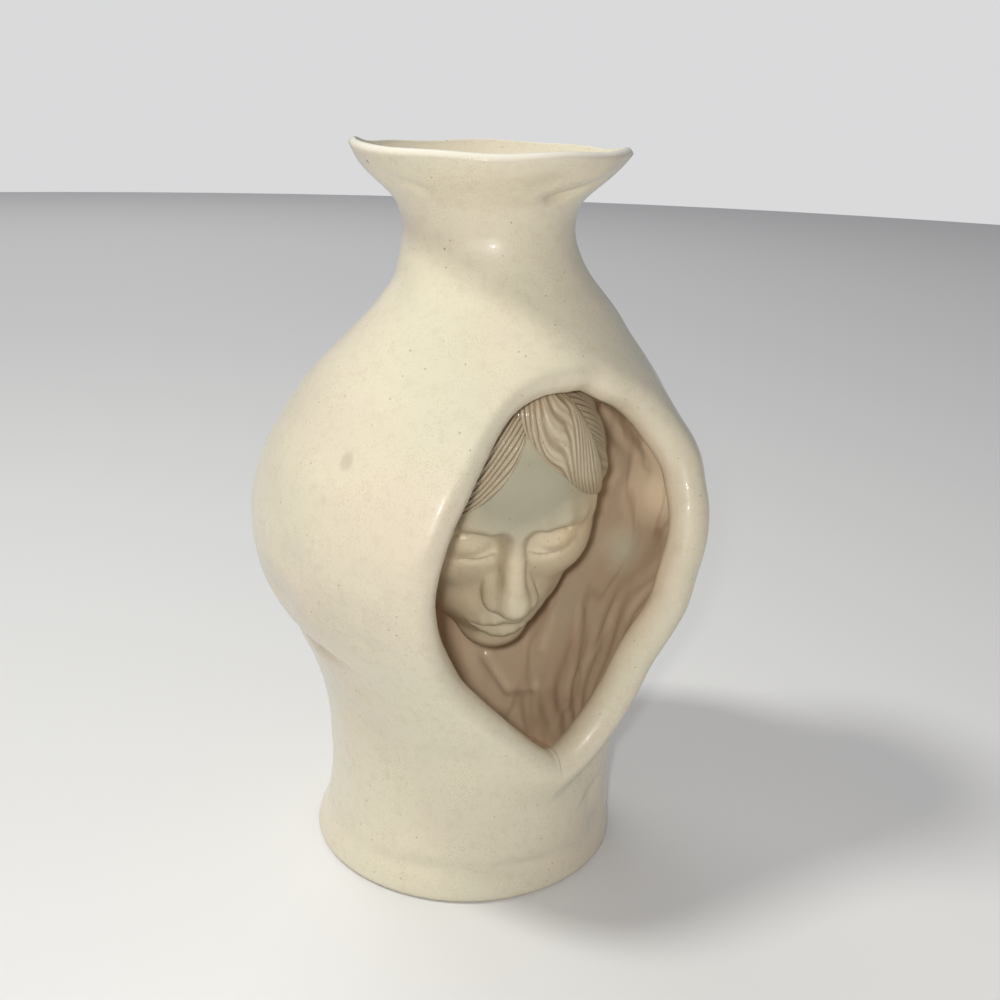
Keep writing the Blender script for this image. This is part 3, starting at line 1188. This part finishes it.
def gloss(n, roughness, coat, peel, uneven):
    # the clear glaze: a glossy coat over a duller body, with a faint orange peel and finger-made unevenness
    n.shader.inputs["Roughness"].default_value = roughness
    n.shader.inputs["Coat Weight"].default_value = coat
    n.shader.inputs["Coat Roughness"].default_value = shine["coatRoughness"]
    n.shader.inputs["Specular IOR Level"].default_value = shine["specular"]
    scale, depth = shine["uneven"]
    low = n.bump(n.noise(scale, 2.0, stretch=(1.0, 1.0, 1.6), offset=(7.0, 2.0, 5.0)), depth, uneven)
    scale, depth = shine["peel"]
    normal = n.bump(n.noise(scale, 2.0), depth, peel, low)
    n.set(n.shader.inputs["Normal"], normal)
    n.set(n.shader.inputs["Coat Normal"], normal)


def streaked(n, colour):
    # thin upright runs, dark where a stretched noise crosses its middle value
    noise = n.noise(runs["scale"], 3.0, stretch=runs["stretch"], offset=runs["offset"])
    size = n.math("ABSOLUTE", n.math("SUBTRACT", noise, 0.5))
    low, high = runs["width"]
    return n.mix(n.ramp(size, low, high, runs["share"], 0.0), colour, glazes["insideDark"])


def outerGlaze():
    # cream outside; through the attribute it turns to thin pinkish brown on the inside, with darker runs
    n = Nodes("creamGlaze")
    cream = speckled(n, n.patched("cream"), 0.42)
    for middle, half, share in glazeMarks:
        cream = n.mix(n.times(n.spot(middle, half), share), cream, glazes["pit"])
    cream = n.mix(n.attribute("rimEdge"), cream, glazes["thinEdge"])
    brown = streaked(n, n.patched("inside"))
    pale = n.spot(palePatch["middle"], palePatch["half"], palePatch["core"])
    brown = n.mix(pale, brown, glazes["insidePale"])
    n.set(n.shader.inputs["Base Color"], n.mix(n.attribute("inside"), cream, brown))
    gloss(n, roughness=0.38, coat=0.55, peel=0.14, uneven=0.3)
    return n.material


def headGlaze():
    # cream patches, and a greyer green-cream over the forehead
    n = Nodes("greyCreamGlaze")
    forehead = n.times(n.spot(seat(brow["middle"]), brow["half"], brow["core"]), brow["share"])
    colour = n.mix(forehead, n.patched("headCream"), glazes["brow"])
    n.set(n.shader.inputs["Base Color"], speckled(n, colour, 0.35))
    gloss(n, roughness=0.36, coat=0.55, peel=0.10, uneven=0.15)
    return n.material


def hairGlaze():
    # the glaze lies thin on the ridges and gathers brown in the combed grooves
    n = Nodes("combedGlaze")
    colour = speckled(n, n.patched("hairPale"), 0.5)
    dark = n.times(n.attribute("groove"), 0.66)
    n.set(n.shader.inputs["Base Color"], n.mix(dark, colour, glazes["groove"]))
    gloss(n, roughness=0.42, coat=0.4, peel=0.12, uneven=0.25)
    return n.material


# a pinhole under the rim and two smudges: middle, half sizes, strength; and the pale patch inside
glazeMarks = (
    (tuple(outerPoint(-95.0, 292.0)), (1.0, 1.0, 1.2), 0.9),
    (tuple(outerPoint(-69.0, 190.0)), (3.5, 3.5, 5.0), 0.22),
    (tuple(outerPoint(-62.0, 262.0)), (0.6, 0.6, 0.6), 0.6),
)
palePatch = {"middle": tuple(innerPoint(86.0, 115.0)), "half": (12.0, 18.0, 15.0), "core": 0.1}

potSkin, leafColumns, leafRays = wallMesh()
potGlaze, faceGlaze, combedGlaze = outerGlaze(), headGlaze(), hairGlaze()
addPot(potGlaze)
print("pot done")
addHead(faceGlaze)
addEars(faceGlaze)
addHairSheet("hair_left", -1, combedGlaze)
addHairSheet("hair_right", 1, combedGlaze)
addHairLock(combedGlaze)
addStem(potGlaze)
print("head done")

# Camera and light

eye = {"turn": -33.0, "distance": 480.0, "height": 317.4, "pitch": 18.78, "roll": 1.91, "yaw": 0.976,
       "lens": 43.1, "sensor": 36.0, "clip": 0.01}
# lamps that face the vase's middle: name, turn, angle up, distance, size, watts, colour, seen in the gloss
lamps = (
    ("topLight", -112, 60, 1.3, 0.22, 9.4, (1.0, 1.0, 0.94), False),
    ("frontLight", -35.4, 20.8, 0.53, 0.024, 1.08, (1.0, 0.96, 0.9), True),
    ("backLight", 172, 41, 3.3, 2.0, 28, (1.0, 1.0, 1.0), False),
)
studio = {
    "aim": 0.15, "floorReach": 3.4, "floorSides": 96, "floorColour": (0.76, 0.76, 0.76, 1),
    "floorRoughness": 0.6, "light": (0.97, 0.97, 1.0, 1), "strength": 0.32, "seen": (0.70, 0.70, 0.71, 1),
}


def addCamera():
    # stands at the turn and distance from the vase's axis, looks down by pitch, then yaw and roll
    a, p, y, r = np.radians([eye["turn"], eye["pitch"], eye["yaw"], eye["roll"]])
    ahead = np.array([np.sin(y) * np.cos(p), np.cos(y) * np.cos(p), -np.sin(p)])
    right = np.array([np.cos(y), -np.sin(y), 0.0])
    up = np.cross(right, ahead)
    right, up = np.cos(r) * right + np.sin(r) * up, -np.sin(r) * right + np.cos(r) * up
    turned = np.array([[np.cos(a), -np.sin(a), 0], [np.sin(a), np.cos(a), 0], [0, 0, 1]])
    matrix = np.eye(4)
    matrix[:3, :3] = turned @ np.stack([right, up, -ahead], -1)
    matrix[:3, 3] = turned @ np.array([0, -eye["distance"], eye["height"]]) * mm
    camera = bpy.data.objects.new("camera", bpy.data.cameras.new("camera"))
    camera.data.sensor_width = eye["sensor"]
    camera.data.lens = eye["lens"]
    camera.data.clip_start = eye["clip"]
    camera.matrix_world = Matrix(matrix.tolist())
    bpy.context.scene.collection.objects.link(camera)
    bpy.context.scene.camera = camera


def addLamp(name, turn, up, distance, size, watts, colour, inGloss):
    # a round lamp at a turn and height angle from the vase's middle, facing it
    a, e = np.radians([turn, up])
    back = np.array([np.sin(a) * np.cos(e), -np.cos(a) * np.cos(e), np.sin(e)])
    right = unit(np.cross([0, 0, 1], back))
    data = bpy.data.lights.new(name, "AREA")
    data.shape, data.size, data.energy, data.color = "DISK", size, watts, colour
    lamp = bpy.data.objects.new(name, data)
    lamp.visible_glossy = inGloss
    matrix = np.eye(4)
    matrix[:3, :3] = np.stack([right, np.cross(back, right), back], -1)
    matrix[:3, 3] = back * distance + np.array([0, 0, studio["aim"]])
    lamp.matrix_world = Matrix(matrix.tolist())
    bpy.context.scene.collection.objects.link(lamp)


def addFloor():
    # a plain pale round floor
    material = bpy.data.materials.new("paleFloor")
    material.use_nodes = True
    shader = material.node_tree.nodes["Principled BSDF"]
    shader.inputs["Base Color"].default_value = studio["floorColour"]
    shader.inputs["Roughness"].default_value = studio["floorRoughness"]
    mesh = bpy.data.meshes.new("floor")
    reach, sides = studio["floorReach"], studio["floorSides"]
    turns = np.radians(np.linspace(0, 360, sides + 1)[:-1])
    edge = np.stack([reach * np.cos(turns), reach * np.sin(turns), 0 * turns], -1)
    mesh.from_pydata(edge.tolist(), [], [list(range(sides))])
    mesh.materials.append(material)
    floor = bpy.data.objects.new("floor", mesh)
    bpy.context.scene.collection.objects.link(floor)


def addStudioWorld():
    # a soft pale surround as light; the camera sees it as a pale background
    world = bpy.data.worlds.new("studio")
    bpy.context.scene.world = world
    world.use_nodes = True
    tree = world.node_tree
    light, output = tree.nodes["Background"], tree.nodes["World Output"]
    light.inputs[0].default_value, light.inputs[1].default_value = studio["light"], studio["strength"]
    seen = tree.nodes.new("ShaderNodeBackground")
    seen.inputs[0].default_value, seen.inputs[1].default_value = studio["seen"], 1.0
    path = tree.nodes.new("ShaderNodeLightPath")
    mixer = tree.nodes.new("ShaderNodeMixShader")
    tree.links.new(path.outputs["Is Camera Ray"], mixer.inputs[0])
    tree.links.new(light.outputs[0], mixer.inputs[1])
    tree.links.new(seen.outputs[0], mixer.inputs[2])
    tree.links.new(mixer.outputs[0], output.inputs["Surface"])


addCamera()
for lamp in lamps:
    addLamp(*lamp)
addFloor()
addStudioWorld()
bpy.context.scene.view_settings.view_transform = "Standard"
print("camera and light done")
